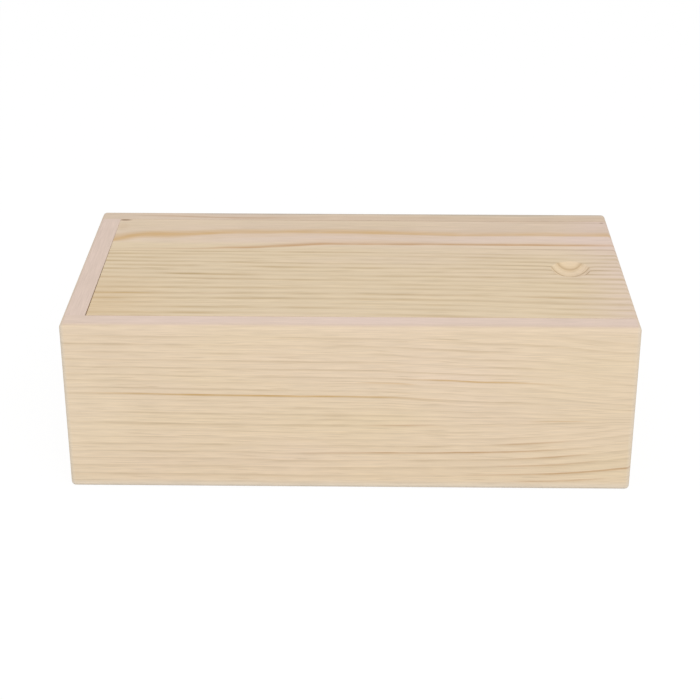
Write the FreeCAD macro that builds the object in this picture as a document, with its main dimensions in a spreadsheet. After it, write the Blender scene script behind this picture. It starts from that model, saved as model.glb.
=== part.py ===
import FreeCAD, Part
import Sketcher
import math
import os
from collections import namedtuple

# A pine box whose lid slides out of its right end. All lengths are in millimetres.
#
# The box stands on Z = 0 with its centre on the Z axis. X runs along it from left to right,
# and Y from front to back. The two long walls cover the ends of the two short ones, so end
# grain shows only at the box's left and right. A thin panel closes the bottom. The lid's
# lower half is wider, a tongue that runs in grooves of the long walls and pushes into the
# left wall. Its upper half fills the space between the walls, level with their tops.

SIZES = {
    # the box outside
    "box_length": 250,
    "box_width": 134,
    "box_height": 80,
    "wall_thickness": 10,
    "edge_radius": 2,
    # the lid, and the grooves that it runs in
    "lid_thickness": 8,
    "tongue_thickness": 4,
    "lid_groove_depth": 4,
    "running_clearance": 0.3,
    "lid_side_gap": 0.3,
    "lid_end_gap": 0.5,
    # the thumb scoop in the lid
    "scoop_diameter": 18,
    "scoop_depth": 4.2,
    "scoop_from_end": 24,
    "scoop_off_middle": 3,
    "scoop_rim_radius": 0.6,
    # the bottom panel, and the grooves that hold it
    "panel_thickness": 4,
    "panel_height": 4,
    "panel_groove_depth": 4,
    "panel_play": 0.2,
}

# Lengths that follow from the sizes, as expressions of the spreadsheet's cells.
NOTHING = "0"
LEFT = "(-Sizes.box_length / 2)"
RIGHT = "(Sizes.box_length / 2)"
FRONT = "(-Sizes.box_width / 2)"
BACK = "(Sizes.box_width / 2)"
WALL_THICKNESS = "Sizes.wall_thickness"
INSIDE_LENGTH = f"(Sizes.box_length - 2 * {WALL_THICKNESS})"
INSIDE_WIDTH = f"(Sizes.box_width - 2 * {WALL_THICKNESS})"
LID_UNDERSIDE = "(Sizes.box_height - Sizes.lid_thickness)"
LID_SEAT = f"({LID_UNDERSIDE} - Sizes.running_clearance)"
LID_GROOVE_HEIGHT = "(Sizes.tongue_thickness + 2 * Sizes.running_clearance)"
TONGUE_REACH = "(Sizes.lid_groove_depth - Sizes.running_clearance)"
TONGUE_LENGTH = f"(Sizes.box_length - {WALL_THICKNESS} + {TONGUE_REACH})"
TONGUE_WIDTH = f"({INSIDE_WIDTH} + 2 * {TONGUE_REACH})"
PANEL_GROOVE_HEIGHT = "(Sizes.panel_thickness + Sizes.panel_play)"
PANEL_REACH = "(Sizes.panel_groove_depth - Sizes.panel_play)"
PANEL_LENGTH = f"({INSIDE_LENGTH} + 2 * {PANEL_REACH})"
PANEL_WIDTH = f"({INSIDE_WIDTH} + 2 * {PANEL_REACH})"

SAME_PLACE = 1e-4  # two lengths nearer than this are the same
PARTS_FOLDER = "parts"

# A wall's inward is 1 where the inside of the box lies along its plane's normal, and -1
# where it lies against it.
Wall = namedtuple("Wall", "body plane inward")


def make_sheet(doc):
    """The spreadsheet: a row for each size, with the size's name as its value's alias."""
    sheet = doc.addObject("Spreadsheet::Sheet", "Sizes")
    for row, (name, value) in enumerate(SIZES.items(), start=1):
        sheet.set(f"A{row}", name)
        sheet.set(f"B{row}", str(value))
        sheet.setAlias(f"B{row}", name)
    doc.recompute()


def new_board(doc, name, place):
    """An empty body for one board, placed by expressions for X, Y and Z."""
    body = doc.addObject("PartDesign::Body", name)
    body.Label = name
    for axis, length in zip("xyz", place):
        body.setExpression(f"Placement.Base.{axis}", length)
    return body


def new_sketch(body, name, plane, place):
    """A sketch on one of the body's origin planes, moved along its own x, y and normal."""
    sketch = body.newObject("Sketcher::SketchObject", f"{name}_sketch")
    own_plane = next(item for item in body.Origin.OriginFeatures if item.Role == plane)
    sketch.AttachmentSupport = (own_plane, [""])
    sketch.MapMode = "FlatFace"
    for axis, length in zip("xyz", place):
        sketch.setExpression(f"AttachmentOffset.Base.{axis}", length)
    return sketch


def add_size(sketch, name, length, *constraint):
    """A named constraint of the sketch that follows an expression."""
    start_value = 1.0
    index = sketch.addConstraint(Sketcher.Constraint(*constraint, start_value))
    sketch.renameConstraint(index, name)
    sketch.setExpression(f"Constraints.{name}", length)


def draw_rectangle(sketch, width, height):
    """A rectangle with a corner at the sketch's origin, width along x and height along y."""
    corners = [FreeCAD.Vector(x, y, 0) for x, y in ((0, 0), (1, 0), (1, 1), (0, 1))]
    following = corners[1:] + corners[:1]
    for start, end in zip(corners, following):
        sketch.addGeometry(Part.LineSegment(start, end), False)
    for line, direction in enumerate(("Horizontal", "Vertical", "Horizontal", "Vertical")):
        next_line = (line + 1) % len(corners)
        sketch.addConstraint(Sketcher.Constraint("Coincident", line, 2, next_line, 1))
        sketch.addConstraint(Sketcher.Constraint(direction, line))
    sketch.addConstraint(Sketcher.Constraint("Coincident", 0, 1, -1, 1))
    add_size(sketch, "width", width, "DistanceX", 0, 1, 0, 2)
    add_size(sketch, "height", height, "DistanceY", 1, 1, 1, 2)


def shape_block(body, kind, name, plane, place, size, is_reversed):
    """A Pad or a Pocket of a rectangle whose low corner is at place on the plane."""
    width, height, depth = size
    sketch = new_sketch(body, name, plane, place)
    draw_rectangle(sketch, width, height)
    feature = body.newObject(f"PartDesign::{kind}", name)
    feature.Profile = sketch
    feature.Reversed = is_reversed
    feature.setExpression("Length", depth)


def add_block(body, name, plane, place, size, direction=1):
    """Adds wood. direction is 1 along the plane's normal, and -1 against it."""
    shape_block(body, "Pad", name, plane, place, size, direction < 0)


def cut_block(body, name, plane, place, size, direction=-1):
    """Cuts wood away. direction is 1 along the plane's normal, and -1 against it."""
    shape_block(body, "Pocket", name, plane, place, size, direction > 0)


def box_planes(doc, point):
    """The set of the box's outside planes that the point lies on."""
    distances = {
        "left": point.x + doc.Sizes.box_length / 2,
        "right": point.x - doc.Sizes.box_length / 2,
        "front": point.y + doc.Sizes.box_width / 2,
        "back": point.y - doc.Sizes.box_width / 2,
        "base": point.z,
        "top": point.z - doc.Sizes.box_height,
    }
    return {plane for plane, distance in distances.items() if abs(distance) < SAME_PLACE}


def is_box_edge(body, edge):
    """Whether the edge is one that two outside planes of the box share."""
    ends = [body.Placement.multVec(vertex.Point) for vertex in edge.Vertexes]
    shared = set.intersection(*[box_planes(body.Document, end) for end in ends])
    return len(shared) == 2


def is_scoop_rim(body, edge):
    """Whether the edge is the circle where the scoop meets the lid's top."""
    rim_length = math.pi * body.Document.Sizes.scoop_diameter
    return abs(edge.Length - rim_length) < SAME_PLACE


def round_edges(body, name, radius, is_wanted):
    """Rounds those of the body's edges that is_wanted(body, edge) picks."""
    body.Document.recompute()
    base = body.Tip
    edges = enumerate(base.Shape.Edges, start=1)
    picked = [f"Edge{number}" for number, edge in edges if is_wanted(body, edge)]
    fillet = body.newObject("PartDesign::Fillet", name)
    fillet.Base = (base, picked)
    fillet.setExpression("Radius", radius)


def make_wall(doc, name, plane, inward, place, start, length, height):
    """A board on edge. Its outer face holds the body's origin, at the base of the box."""
    wall = Wall(new_board(doc, name, place), plane, inward)
    outer_corner = (start, NOTHING, NOTHING)
    size = (length, height, WALL_THICKNESS)
    add_block(wall.body, f"{name}_board", plane, outer_corner, size, inward)
    return wall


def cut_groove(wall, name, start, bottom, size):
    """A groove in the wall's inner face. size is its length, height and depth."""
    inner_corner = (start, bottom, f"{wall.inward} * {WALL_THICKNESS}")
    full_name = f"{wall.body.Label}_{name}"
    cut_block(wall.body, full_name, wall.plane, inner_corner, size, -wall.inward)


def make_long_wall(doc, name, outer_face, inward):
    """The front or back wall. Its lid groove is open at the right, and stops at the left."""
    place = (NOTHING, outer_face, NOTHING)
    length, height = "Sizes.box_length", "Sizes.box_height"
    wall = make_wall(doc, name, "XZ_Plane", inward, place, LEFT, length, height)

    depth = "Sizes.lid_groove_depth"
    start = f"{LEFT} + {WALL_THICKNESS} - {depth}"
    size = (f"{length} - {WALL_THICKNESS} + {depth}", LID_GROOVE_HEIGHT, depth)
    cut_groove(wall, "lid_groove", start, LID_SEAT, size)

    depth = "Sizes.panel_groove_depth"
    start = f"{LEFT} + {WALL_THICKNESS} - {depth}"
    size = (f"{INSIDE_LENGTH} + 2 * {depth}", PANEL_GROOVE_HEIGHT, depth)
    cut_groove(wall, "panel_groove", start, "Sizes.panel_height", size)

    round_edges(wall.body, f"{name}_outer_edges", "Sizes.edge_radius", is_box_edge)


def make_end_wall(doc, name, outer_face, inward, height):
    """A wall between the long walls, with the groove for the bottom panel."""
    place = (outer_face, NOTHING, NOTHING)
    start = f"-{INSIDE_WIDTH} / 2"
    wall = make_wall(doc, name, "YZ_Plane", inward, place, start, INSIDE_WIDTH, height)
    size = (INSIDE_WIDTH, PANEL_GROOVE_HEIGHT, "Sizes.panel_groove_depth")
    cut_groove(wall, "panel_groove", start, "Sizes.panel_height", size)
    return wall


def make_left_end_wall(doc):
    """The full-height end wall. A groove near its top takes the lid's tongue."""
    wall = make_end_wall(doc, "left_end_wall", LEFT, 1, "Sizes.box_height")
    start = f"-{INSIDE_WIDTH} / 2"
    size = (INSIDE_WIDTH, LID_GROOVE_HEIGHT, "Sizes.lid_groove_depth")
    cut_groove(wall, "lid_groove", start, LID_SEAT, size)
    round_edges(wall.body, "left_end_wall_outer_edges", "Sizes.edge_radius", is_box_edge)


def make_right_end_wall(doc):
    """The low end wall. The lid passes over it."""
    wall = make_end_wall(doc, "right_end_wall", RIGHT, -1, LID_SEAT)
    round_edges(wall.body, "right_end_wall_outer_edges", "Sizes.edge_radius", is_box_edge)


def make_bottom_panel(doc):
    """The panel that closes the bottom. It lies in the grooves of the four walls."""
    body = new_board(doc, "bottom_panel", (NOTHING, NOTHING, "Sizes.panel_height"))
    corner = (f"-{PANEL_LENGTH} / 2", f"-{PANEL_WIDTH} / 2", NOTHING)
    size = (PANEL_LENGTH, PANEL_WIDTH, "Sizes.panel_thickness")
    add_block(body, "bottom_panel_board", "XY_Plane", corner, size)


def cut_rabbets(body, left, front):
    """The steps along three edges of the lid that leave the tongue standing out below."""
    side_rabbet = f"({TONGUE_REACH} + Sizes.lid_side_gap)"
    end_rabbet = f"({TONGUE_REACH} + Sizes.lid_end_gap)"
    depth = "(Sizes.lid_thickness - Sizes.tongue_thickness)"
    back_start = f"-{front} - {side_rabbet}"
    rabbets = {
        "lid_front_rabbet": (front, (TONGUE_LENGTH, side_rabbet, depth)),
        "lid_back_rabbet": (back_start, (TONGUE_LENGTH, side_rabbet, depth)),
        "lid_end_rabbet": (front, (end_rabbet, TONGUE_WIDTH, depth)),
    }
    for name, (start, size) in rabbets.items():
        cut_block(body, name, "XY_Plane", (left, start, "Sizes.lid_thickness"), size)


def draw_scoop(sketch, doc):
    """Half of the scoop's section: the axis, the bowl's arc, and a line at the lid's top."""
    rim, depth = doc.Sizes.scoop_diameter / 2, doc.Sizes.scoop_depth
    radius = (rim**2 + depth**2) / (2 * depth)
    centre = FreeCAD.Vector(0, radius - depth, 0)
    bottom, edge = FreeCAD.Vector(0, -depth, 0), FreeCAD.Vector(rim, 0, 0)
    bowl = Part.Circle(centre, FreeCAD.Vector(0, 0, 1), radius)
    arc_start, arc_end = -math.pi / 2, -math.acos(rim / radius)
    sketch.addGeometry(Part.LineSegment(FreeCAD.Vector(), bottom), False)
    sketch.addGeometry(Part.ArcOfCircle(bowl, arc_start, arc_end), False)
    sketch.addGeometry(Part.LineSegment(edge, FreeCAD.Vector()), False)
    sketch.addConstraint(Sketcher.Constraint("Coincident", 0, 1, -1, 1))
    sketch.addConstraint(Sketcher.Constraint("Vertical", 0))
    sketch.addConstraint(Sketcher.Constraint("Coincident", 0, 2, 1, 1))
    sketch.addConstraint(Sketcher.Constraint("Coincident", 1, 2, 2, 1))
    sketch.addConstraint(Sketcher.Constraint("Horizontal", 2))
    sketch.addConstraint(Sketcher.Constraint("Coincident", 2, 2, -1, 1))
    sketch.addConstraint(Sketcher.Constraint("PointOnObject", 1, 3, -2))
    add_size(sketch, "depth", "Sizes.scoop_depth", "DistanceY", 0, 2, 0, 1)
    add_size(sketch, "rim", "Sizes.scoop_diameter / 2", "DistanceX", 2, 2, 2, 1)


def cut_scoop(body):
    """The round hollow that a thumb pushes the lid by, near its right end. Its middle lies a
    little in front of the lid's own."""
    from_left = f"{RIGHT} - Sizes.scoop_from_end"
    place = (from_left, "Sizes.lid_thickness", "Sizes.scoop_off_middle")
    sketch = new_sketch(body, "lid_scoop", "XZ_Plane", place)
    draw_scoop(sketch, body.Document)
    groove = body.newObject("PartDesign::Groove", "lid_scoop")
    groove.Profile = sketch
    groove.ReferenceAxis = (sketch, ["V_Axis"])
    groove.Angle = 360


def make_lid(doc):
    """The sliding lid, shut. Its right end is level with the right end of the box."""
    body = new_board(doc, "lid", (NOTHING, NOTHING, LID_UNDERSIDE))
    left = f"{RIGHT} - {TONGUE_LENGTH}"
    front = f"(-{TONGUE_WIDTH} / 2)"
    size = (TONGUE_LENGTH, TONGUE_WIDTH, "Sizes.lid_thickness")
    add_block(body, "lid_board", "XY_Plane", (left, front, NOTHING), size)
    cut_rabbets(body, left, front)
    cut_scoop(body)
    round_edges(body, "lid_outer_edge", "Sizes.edge_radius", is_box_edge)
    round_edges(body, "lid_scoop_rim", "Sizes.scoop_rim_radius", is_scoop_rim)


def check_features(doc):
    """Stops if a feature failed, or if a cut took nothing away."""
    for item in doc.Objects:
        if {"Invalid", "Error"} & set(item.State):
            raise RuntimeError(f"{item.Name} failed")
        if item.TypeId in ("PartDesign::Pocket", "PartDesign::Groove"):
            if item.Shape.Volume >= item.BaseFeature.Shape.Volume:
                raise RuntimeError(f"{item.Name} cuts nothing")


def write_boards(doc):
    """Writes each board to a file of its own."""
    boards = doc.findObjects("PartDesign::Body")
    for board in boards:
        if board.Shape.isNull() or not board.Shape.isValid() or len(board.Shape.Solids) != 1:
            raise RuntimeError(f"{board.Label} isn't one sound solid")
    os.makedirs(PARTS_FOLDER, exist_ok=True)
    for board in boards:
        board.Shape.exportStep(os.path.join(PARTS_FOLDER, f"{board.Label}.step"))
        print(f"{board.Label}: {board.Shape.Volume:.0f} mm3")


def main():
    doc = FreeCAD.newDocument("sliding_lid_box")
    make_sheet(doc)
    make_long_wall(doc, "front_wall", FRONT, -1)
    make_long_wall(doc, "back_wall", BACK, 1)
    make_left_end_wall(doc)
    make_right_end_wall(doc)
    make_bottom_panel(doc)
    make_lid(doc)
    doc.recompute()
    check_features(doc)
    write_boards(doc)


main()
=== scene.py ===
# %% [markdown]
# # A pine box with a sliding lid
#
# A small keepsake box is glued up from six pine boards: two long walls, two end walls, a thin
# bottom panel and a lid that slides out of the right end. The CAD model gives each board its
# size and place. This lesson shapes every board again as a woodworker would, with softened
# edges, grooves and a thumb scoop, and then grows the wood itself: rings, fibres and end grain.
#
# The CAD boards could have been kept and only coloured. They are modelled again here because
# a sanded edge catches the light, and a scoop needs a smooth rim, more than plain solids give.

import math

import bmesh
import bpy
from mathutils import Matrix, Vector


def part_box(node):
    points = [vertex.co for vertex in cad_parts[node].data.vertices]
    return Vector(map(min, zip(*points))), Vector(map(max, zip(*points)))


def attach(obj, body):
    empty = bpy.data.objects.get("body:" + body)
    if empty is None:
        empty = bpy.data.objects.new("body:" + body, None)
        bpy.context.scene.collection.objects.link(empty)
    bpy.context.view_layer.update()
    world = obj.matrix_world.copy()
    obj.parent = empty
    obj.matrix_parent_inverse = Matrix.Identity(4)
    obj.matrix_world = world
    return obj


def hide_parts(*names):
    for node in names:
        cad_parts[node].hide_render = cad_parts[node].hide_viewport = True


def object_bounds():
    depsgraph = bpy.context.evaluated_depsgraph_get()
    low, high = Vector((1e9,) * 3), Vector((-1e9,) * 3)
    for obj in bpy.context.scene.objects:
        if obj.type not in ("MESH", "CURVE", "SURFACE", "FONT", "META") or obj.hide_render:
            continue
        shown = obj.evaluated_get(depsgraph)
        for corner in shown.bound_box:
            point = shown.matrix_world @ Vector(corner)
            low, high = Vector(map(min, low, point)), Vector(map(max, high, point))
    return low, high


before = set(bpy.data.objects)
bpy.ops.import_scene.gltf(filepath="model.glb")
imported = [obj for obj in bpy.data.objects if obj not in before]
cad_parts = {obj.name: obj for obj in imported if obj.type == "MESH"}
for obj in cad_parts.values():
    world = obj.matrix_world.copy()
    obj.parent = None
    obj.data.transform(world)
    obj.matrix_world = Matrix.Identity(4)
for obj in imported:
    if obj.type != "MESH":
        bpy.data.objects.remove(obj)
cad_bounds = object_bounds()
BOX_LOW, BOX_HIGH = (Vector(corner) for corner in cad_bounds)
print("boards in the CAD model:", sorted(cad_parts))
print("the box measures", [round(side, 4) for side in BOX_HIGH - BOX_LOW], "m")

# %% [markdown]
# ## The camera
#
# A long lens stands in front of the box, a little above it, and looks down at it. From there
# the front and the top show, and the far edge is only slightly shorter than the near one. A
# shorter lens closer up would also hold the box, but it would bend its lines together.

# %% Place the camera
CAMERA_PLACE = (0.00954, -0.71564, 0.38407)
CAMERA_LENS = 86.18  # mm, on a sensor 36 mm wide
LOOKS_DOWN = 25.911  # degrees below level
LOOKS_LEFT = 0.83  # degrees left of straight ahead

bpy.ops.object.camera_add(
    location=CAMERA_PLACE,
    rotation=(math.radians(90 - LOOKS_DOWN), 0, math.radians(LOOKS_LEFT)),
)
camera = bpy.context.object
camera.name = "camera"
camera.data.lens = CAMERA_LENS
bpy.context.scene.camera = camera
print("camera at", [round(place, 3) for place in camera.location])

# %% [markdown]
# ## Colours and shader nodes
#
# Colours are picked as hex codes, which are made for screens. Light adds up in a linear scale,
# so one function turns each code into the linear numbers that Blender's sockets take. A second
# function adds a shader node with its settings and links, since every material needs that.

# %% Turn hex colours to linear ones
def linear_colour(code):
    """The linear colour of an sRGB hex code such as "e6d2b4"."""
    channels = [int(code[start : start + 2], 16) / 255 for start in (0, 2, 4)]
    linear = [
        level / 12.92 if level <= 0.04045 else ((level + 0.055) / 1.055) ** 2.4
        for level in channels
    ]
    return (*linear, 1.0)


# %% Add a shader node
def shown(sockets):
    """A node's first socket that is in use."""
    return next(socket for socket in sockets if socket.enabled)


def add_node(tree, kind, inputs=(), points=None, handles="AUTO_CLAMPED", **settings):
    """Adds a node of one kind. Its inputs come in order, or by their names, and each is a value,
    a hex colour, another node's output, or a node that stands for its first output. Points are
    those of its curve."""
    node = tree.nodes.new("ShaderNode" + kind)
    for name, value in settings.items():
        setattr(node, name, value)
    if not isinstance(inputs, dict):
        inputs = dict(enumerate(inputs))
    for name, value in inputs.items():
        if isinstance(name, int):
            socket = node.inputs[name]
        else:
            socket = shown(socket for socket in node.inputs if socket.name == name)
        if isinstance(value, str):
            value = linear_colour(value)
        if isinstance(value, bpy.types.Node):
            value = shown(value.outputs)
        if isinstance(value, bpy.types.NodeSocket):
            tree.links.new(value, socket)
        else:
            socket.default_value = value
    if points:
        node.mapping.use_clip = False
        node.mapping.extend = "HORIZONTAL"
        curve = node.mapping.curves[0]
        for point, place in zip(curve.points, points):
            point.location = place
        for place in points[2:]:
            curve.points.new(*place)
        for point in curve.points:
            point.handle_type = handles
        node.mapping.update()
    return node


# %% [markdown]
# ## The floor and the light
#
# The box stands on white paper under soft light: a bright room all round, and one wide lamp in
# front and above. The paper has to look pure white without more light on the box. So what the
# camera sees of it is mostly a plain white glow, mixed with a little of its lit surface, and
# that part carries the box's shadow. Reflections show the same white, and every other ray meets
# ordinary pale paper.

# %% Lay the paper floor
PAPER = "dcdcdc"  # matt paper, which shows no gloss at all
FLOOR_SIZE = 6.0  # metres
FLOOR_DROP = 0.00005  # metres, so that the paper and the box's underside never share one plane
SHADOW_SHARE = 0.12  # how much of the lit paper the camera sees
GLOW = 1.06  # makes up for that part, so that the paper beside the box is just white

bpy.ops.object.select_all(action="DESELECT")
bpy.ops.mesh.primitive_plane_add(size=FLOOR_SIZE, location=(0, 0, -FLOOR_DROP))
floor = bpy.context.object
floor.name = "paper_floor"

paper = bpy.data.materials.new("white_paper")
paper.use_nodes = True
nodes = paper.node_tree
nodes.nodes.clear()
light_path = add_node(nodes, "LightPath")
seen_direct = add_node(
    nodes,
    "Math",
    [light_path.outputs["Is Camera Ray"], light_path.outputs["Is Glossy Ray"]],
    operation="MAXIMUM",
)
seen = add_node(
    nodes,
    "Math",
    [seen_direct, light_path.outputs["Is Transmission Ray"]],
    operation="MAXIMUM",
)
glow_share = add_node(nodes, "Math", [seen, 1 - SHADOW_SHARE], operation="MULTIPLY")
lit_paper = add_node(nodes, "BsdfDiffuse", {"Color": PAPER})
glow = add_node(nodes, "Emission", {"Color": (1, 1, 1, 1), "Strength": GLOW})
mixed = add_node(nodes, "MixShader", [glow_share, lit_paper, glow])
add_node(nodes, "OutputMaterial", {"Surface": mixed})
floor.data.materials.append(paper)

# %% Light the room and hang the lamp
ROOM_LIGHT = 0.72  # strength, where 1 is white
LAMP_PLACE = Vector((0.27, -1.34, 1.0))  # metres
LAMP_WIDTH = 1.3  # metres
LAMP_HEIGHT = 0.9  # metres
LAMP_POWER = 9.4  # watts

room = bpy.data.worlds.new("bright_room")
bpy.context.scene.world = room
room.use_nodes = True
nodes = room.node_tree
nodes.nodes.clear()
light_path = add_node(nodes, "LightPath")
seen_direct = add_node(
    nodes,
    "Math",
    [light_path.outputs["Is Camera Ray"], light_path.outputs["Is Transmission Ray"]],
    operation="MAXIMUM",
)
dim = add_node(nodes, "Background", {"Color": (1, 1, 1, 1), "Strength": ROOM_LIGHT})
white = add_node(nodes, "Background", {"Color": (1, 1, 1, 1), "Strength": 1.0})
mixed = add_node(nodes, "MixShader", [seen_direct, dim, white])
add_node(nodes, "OutputWorld", {"Surface": mixed})

box_middle = (BOX_LOW + BOX_HIGH) / 2
towards_box = (box_middle - LAMP_PLACE).to_track_quat("-Z", "Y").to_euler()
bpy.ops.object.light_add(type="AREA", location=LAMP_PLACE, rotation=towards_box)
lamp = bpy.context.object
lamp.name = "wide_lamp"
lamp.data.shape = "RECTANGLE"
lamp.data.size = LAMP_WIDTH
lamp.data.size_y = LAMP_HEIGHT
lamp.data.energy = LAMP_POWER
bpy.context.scene.view_settings.view_transform = "Standard"
print("lamp", round((box_middle - LAMP_PLACE).length, 2), "m from the box")

# %% [markdown]
# ## Tools for shaping a board
#
# Every board starts as a cube stretched to the size of its CAD node. From there it is worked
# in edit mode. To shape one edge, that edge has to be selected, and in a script it is found by
# where it lies: on two outer faces of the box, or on a plane that is named below.

# %% Name the lengths
MM = 0.001
WALL = 10 * MM
GROOVE_DEPTH = 4 * MM
LID_GROOVE_LOW = 71.7 * MM
LID_GROOVE_HIGH = 76.3 * MM
PANEL_GROOVE_LOW = 4 * MM
PANEL_GROOVE_HIGH = 8.2 * MM
OUTER_ROUNDING = 2 * MM
ARRIS = 0.15 * MM  # a few strokes of fine sandpaper
SAME_PLACE = 0.001 * MM  # two places closer than this count as one

LEFT, FRONT, BASE = BOX_LOW
RIGHT, BACK, TOP = BOX_HIGH
INNER_LEFT, INNER_RIGHT = LEFT + WALL, RIGHT - WALL
INNER_FRONT, INNER_BACK = FRONT + WALL, BACK - WALL
LIP_HEIGHTS = (TOP, LID_GROOVE_HIGH, LID_GROOVE_LOW)
print("inside length", round(INNER_RIGHT - INNER_LEFT, 4), "m")


# %% Start a board
def add_block(name, low, high):
    """A cube stretched between two corners, with its place and size kept in its mesh."""
    bpy.ops.object.select_all(action="DESELECT")
    middle, size = (low + high) / 2, high - low
    bpy.ops.mesh.primitive_cube_add(size=1, location=middle, scale=size)
    bpy.ops.object.transform_apply(location=True, rotation=False, scale=True)
    block = bpy.context.object
    block.name = name
    return block


def start_board(node):
    """A block with the size and place of a CAD board."""
    return add_block(node + "_board", *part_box(node))


# %% Find edges and faces by their place
def lies_on(point, **places):
    """True where a point has these x, y or z places."""
    return all(
        abs(point["xyz".index(axis)] - place) < SAME_PLACE for axis, place in places.items()
    )


def both_lie_on(start, end, **places):
    """True where both ends of an edge have these x, y or z places."""
    return lies_on(start, **places) and lies_on(end, **places)


def is_corner(start, end, faces):
    """True for an edge where two of these faces meet."""
    return sum(both_lie_on(start, end, **{axis: place}) for axis, place in faces) == 2


def is_box_edge(start, end):
    """True for an edge that is an outer edge of the whole box."""
    faces = (("x", LEFT), ("x", RIGHT), ("y", FRONT), ("y", BACK), ("z", BASE), ("z", TOP))
    return is_corner(start, end, faces)


def select_edges(board, wanted):
    """Selects the edges whose two ends pass a test, and says how many they are."""
    bpy.ops.mesh.select_mode(type="EDGE")
    bpy.ops.mesh.select_all(action="DESELECT")
    mesh = bmesh.from_edit_mesh(board.data)
    chosen = [edge for edge in mesh.edges if wanted(*(v.co for v in edge.verts))]
    for edge in chosen:
        edge.select = True
    bmesh.update_edit_mesh(board.data)
    return len(chosen)


def select_faces(board, wanted):
    """Selects the faces whose middle passes a test."""
    bpy.ops.mesh.select_mode(type="FACE")
    bpy.ops.mesh.select_all(action="DESELECT")
    mesh = bmesh.from_edit_mesh(board.data)
    for face in mesh.faces:
        face.select = wanted(face.calc_center_median())
    bmesh.update_edit_mesh(board.data)


# %% Round edges and cut grooves
def round_edges(board, wanted, radius, segments):
    """Rounds the edges that pass a test."""
    bpy.ops.object.mode_set(mode="EDIT")
    count = select_edges(board, wanted)
    bpy.ops.mesh.bevel(offset=radius, offset_type="OFFSET", segments=segments, affect="EDGES")
    bpy.ops.object.mode_set(mode="OBJECT")
    print(board.name, "has", count, "edges rounded by", round(radius / MM, 2), "mm")


def make_active(board):
    """Selects one board and nothing else."""
    bpy.ops.object.select_all(action="DESELECT")
    board.select_set(True)
    bpy.context.view_layer.objects.active = board


def cut(board, cutter):
    """Takes the cutter's shape out of a board, and removes the cutter."""
    make_active(board)
    bpy.ops.object.modifier_add(type="BOOLEAN")
    board.modifiers[-1].operation = "DIFFERENCE"
    board.modifiers[-1].solver = "EXACT"
    board.modifiers[-1].object = cutter
    bpy.ops.object.modifier_apply(modifier=board.modifiers[-1].name)
    bpy.data.objects.remove(cutter)


# %% [markdown]
# ## The long walls
#
# A long wall is a planed board with two grooves along its inner face, as a router cuts them:
# the lower one holds the bottom panel and stops short of the ends, the upper one carries the
# lid and runs out of the right end. The outer edges are well rounded. The inner ones are only
# broken with sandpaper, and not at all where the end wall is glued on, or a gap would show.

# %% Shape the front wall
ROUND_SEGMENTS = 8
ARRIS_SEGMENTS = 2
CUT_PAST = 5 * MM  # a cutter goes this far beyond the face that it enters

front_wall = start_board("front_wall")
round_edges(front_wall, is_box_edge, OUTER_ROUNDING, ROUND_SEGMENTS)

groove_left = INNER_LEFT - GROOVE_DEPTH
groove_right = INNER_RIGHT + GROOVE_DEPTH
groove_floor = INNER_FRONT - GROOVE_DEPTH
lid_groove = add_block(
    "lid_groove",
    Vector((groove_left, groove_floor, LID_GROOVE_LOW)),
    Vector((RIGHT + CUT_PAST, INNER_FRONT + CUT_PAST, LID_GROOVE_HIGH)),
)
cut(front_wall, lid_groove)
panel_groove = add_block(
    "panel_groove",
    Vector((groove_left, groove_floor, PANEL_GROOVE_LOW)),
    Vector((groove_right, INNER_FRONT + CUT_PAST, PANEL_GROOVE_HIGH)),
)
cut(front_wall, panel_groove)


# %% Break its inner edges
def mark_line(board, place, normal):
    """Divides a board's faces along a plane, as a pencil line would."""
    bpy.ops.object.mode_set(mode="EDIT")
    bpy.ops.mesh.select_all(action="SELECT")
    bpy.ops.mesh.bisect(plane_co=place, plane_no=normal)
    bpy.ops.object.mode_set(mode="OBJECT")


def is_free_lip(start, end):
    """True for the long inner edges at the top and at the lid groove, past the end wall."""
    lip = any(both_lie_on(start, end, y=INNER_FRONT, z=height) for height in LIP_HEIGHTS)
    return lip and min(start.x, end.x) > INNER_LEFT - SAME_PLACE


mark_line(front_wall, (INNER_LEFT, 0, 0), (1, 0, 0))
round_edges(front_wall, is_free_lip, ARRIS, ARRIS_SEGMENTS)

# %% Copy it to the back
make_active(front_wall)
bpy.ops.object.duplicate()
back_wall = bpy.context.object
back_wall.name = "back_wall_board"
bpy.ops.transform.resize(value=(1, -1, 1), center_override=(0, 0, 0))
bpy.ops.object.transform_apply(location=True, rotation=True, scale=True)
bpy.ops.object.mode_set(mode="EDIT")
bpy.ops.mesh.select_all(action="SELECT")
bpy.ops.mesh.normals_make_consistent(inside=False)
bpy.ops.object.mode_set(mode="OBJECT")
print("back wall runs from y =", round(min(v.co.y for v in back_wall.data.vertices), 4))

# %% [markdown]
# ## The end walls
#
# The end walls stand between the long ones, and their own ends are glued, so only their long
# edges are worked. The left one is as high as the long walls and has a groove for the lid's
# end. The right one is lower, and the lid passes over it.

# %% Shape the left end wall
left_end_wall = start_board("left_end_wall")
round_edges(left_end_wall, is_box_edge, OUTER_ROUNDING, ROUND_SEGMENTS)
for name, low, high in (
    ("lid_end_groove", LID_GROOVE_LOW, LID_GROOVE_HIGH),
    ("panel_groove", PANEL_GROOVE_LOW, PANEL_GROOVE_HIGH),
):
    groove = add_block(
        name,
        Vector((groove_left, FRONT, low)),
        Vector((INNER_LEFT + CUT_PAST, BACK, high)),
    )
    cut(left_end_wall, groove)


def is_left_lip(start, end):
    """True for the left wall's inner edges at the top and at the lid's groove."""
    return any(both_lie_on(start, end, x=INNER_LEFT, z=height) for height in LIP_HEIGHTS)


round_edges(left_end_wall, is_left_lip, ARRIS, ARRIS_SEGMENTS)

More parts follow.
